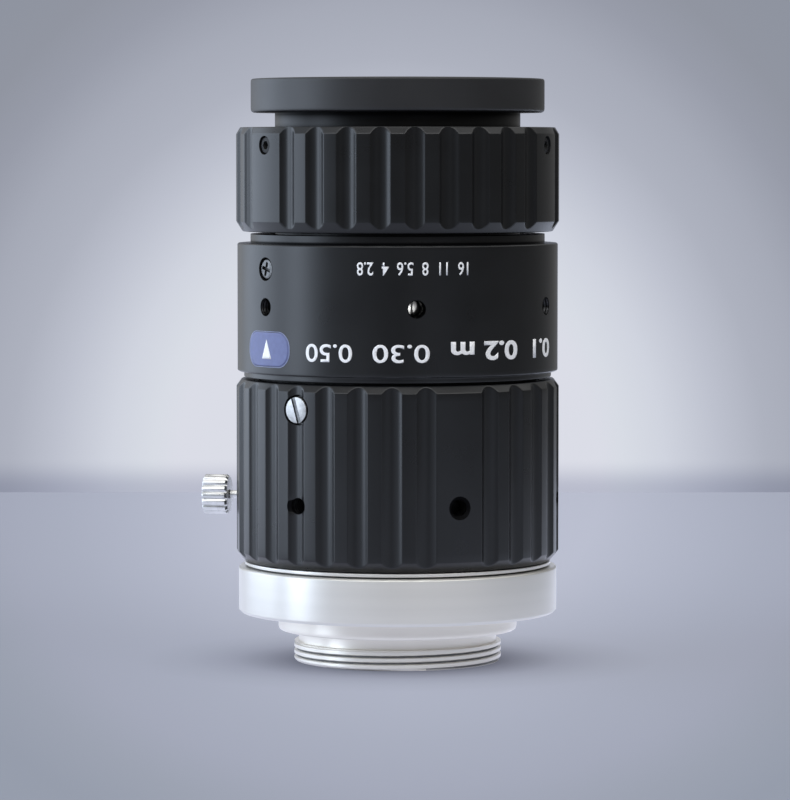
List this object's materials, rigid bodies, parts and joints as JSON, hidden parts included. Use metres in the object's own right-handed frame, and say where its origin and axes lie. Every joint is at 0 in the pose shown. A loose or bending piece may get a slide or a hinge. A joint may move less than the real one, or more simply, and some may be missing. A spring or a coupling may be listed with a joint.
{
  "type": "c-mount machine vision lens",
  "caption": "Fixed focal length camera lens with a threaded C-mount, a fluted focus ring with a lock screw and a fluted iris ring.",
  "frame": {"origin": "on the optical axis, in the plane of the C-mount shoulder", "axes": "+Z along the optical axis, out of the front; -Y is the side that the picture shows"},
  "size_m": [0.0439, 0.0396, 0.0713],
  "materials": {
    "silver_anodised": "turned, clear anodised",
    "black_anodised": "satin black anodised",
    "inner_black": "matt black anodised",
    "blackened_steel": "blackened",
    "bright_metal": "turned, bright",
    "coated_glass": "polished and coated"
  },
  "bodies": {
    "mount": {"mount_base": "silver_anodised", "guide_sleeve": "inner_black", "focus_retainer": "inner_black", "sleeve_screw_1": "bright_metal", "sleeve_screw_2": "bright_metal", "sleeve_screw_3": "bright_metal", "guide_key": "bright_metal", "guide_key_screw": "bright_metal"},
    "focus_ring": {"focus_ring": "black_anodised", "stop_screw": "bright_metal"},
    "lock_screw": {"thumb_screw": "bright_metal"},
    "front_unit": {"name_barrel": "black_anodised", "helicoid_barrel": "inner_black", "lens_barrel": "inner_black", "front_barrel": "black_anodised", "barrel_set_screw_1": "bright_metal", "barrel_set_screw_2": "bright_metal", "barrel_set_screw_3": "bright_metal", "name_screw_1": "blackened_steel", "name_screw_2": "blackened_steel", "front_lens_1": "coated_glass", "front_lens_2": "coated_glass", "front_spacer": "inner_black", "front_retaining_ring": "inner_black", "rear_lens_1": "coated_glass", "rear_lens_2": "coated_glass", "rear_lens_3": "coated_glass", "rear_lens_4": "coated_glass", "rear_lens_5": "coated_glass", "rear_spacer_1": "inner_black", "rear_spacer_2": "inner_black", "rear_spacer_3": "inner_black", "middle_retaining_ring": "inner_black", "rear_retaining_ring": "inner_black", "iris_housing": "inner_black", "iris_retainer": "inner_black"},
    "iris_ring": {"iris_ring": "black_anodised", "grub_screw_1": "blackened_steel", "grub_screw_2": "blackened_steel", "grub_screw_3": "blackened_steel", "iris_drive_ring": "inner_black", "drive_pin": "bright_metal", "iris_cam_ring": "bright_metal"},
    "blade_1": {"iris_blade_1": "blackened_steel"},
    "blade_2": {"iris_blade_2": "blackened_steel"},
    "blade_3": {"iris_blade_3": "blackened_steel"},
    "blade_4": {"iris_blade_4": "blackened_steel"},
    "blade_5": {"iris_blade_5": "blackened_steel"},
    "blade_6": {"iris_blade_6": "blackened_steel"}
  },
  "joints": [
    {"name": "focus_turn", "type": "hinge", "parent": "mount", "child": "focus_ring", "pos_m": [0, 0, 0.00859], "axis": [0, 0, 1], "range_deg": [0, 270]},
    {"name": "focus_slide", "type": "slide", "parent": "mount", "child": "front_unit", "axis": [0, 0, 1], "range_m": [0, 0.0034]},
    {"name": "lock_turn", "type": "hinge", "parent": "focus_ring", "child": "lock_screw", "pos_m": [-0.01956, 0.00275, 0.01626], "axis": [-0.9903, 0.1392, 0], "range_deg": [0, 360]},
    {"name": "iris_turn", "type": "hinge", "parent": "front_unit", "child": "iris_ring", "pos_m": [0, 0, 0.0488], "axis": [0, 0, 1], "range_deg": [0, 50]},
    {"name": "blade_1_turn", "type": "hinge", "parent": "front_unit", "child": "blade_1", "pos_m": [0.0092, 0, 0.04796], "axis": [0, 0, 1], "range_deg": [0, 25.76]},
    {"name": "blade_2_turn", "type": "hinge", "parent": "front_unit", "child": "blade_2", "pos_m": [0.0046, 0.00797, 0.04796], "axis": [0, 0, 1], "range_deg": [0, 25.76]},
    {"name": "blade_3_turn", "type": "hinge", "parent": "front_unit", "child": "blade_3", "pos_m": [-0.0046, 0.00797, 0.04796], "axis": [0, 0, 1], "range_deg": [0, 25.76]},
    {"name": "blade_4_turn", "type": "hinge", "parent": "front_unit", "child": "blade_4", "pos_m": [-0.0092, 0, 0.04796], "axis": [0, 0, 1], "range_deg": [0, 25.76]},
    {"name": "blade_5_turn", "type": "hinge", "parent": "front_unit", "child": "blade_5", "pos_m": [-0.0046, -0.00797, 0.04796], "axis": [0, 0, 1], "range_deg": [0, 25.76]},
    {"name": "blade_6_turn", "type": "hinge", "parent": "front_unit", "child": "blade_6", "pos_m": [0.0046, -0.00797, 0.04796], "axis": [0, 0, 1], "range_deg": [0, 25.76]}
  ],
  "couplings": [
    {"joint": "focus_turn", "follows": "focus_slide", "rad_per_m": 1385.9},
    {"joint": "blade_1_turn", "follows": "iris_turn", "ratio": 0.515},
    {"joint": "blade_2_turn", "follows": "iris_turn", "ratio": 0.515},
    {"joint": "blade_3_turn", "follows": "iris_turn", "ratio": 0.515},
    {"joint": "blade_4_turn", "follows": "iris_turn", "ratio": 0.515},
    {"joint": "blade_5_turn", "follows": "iris_turn", "ratio": 0.515},
    {"joint": "blade_6_turn", "follows": "iris_turn", "ratio": 0.515}
  ]
}
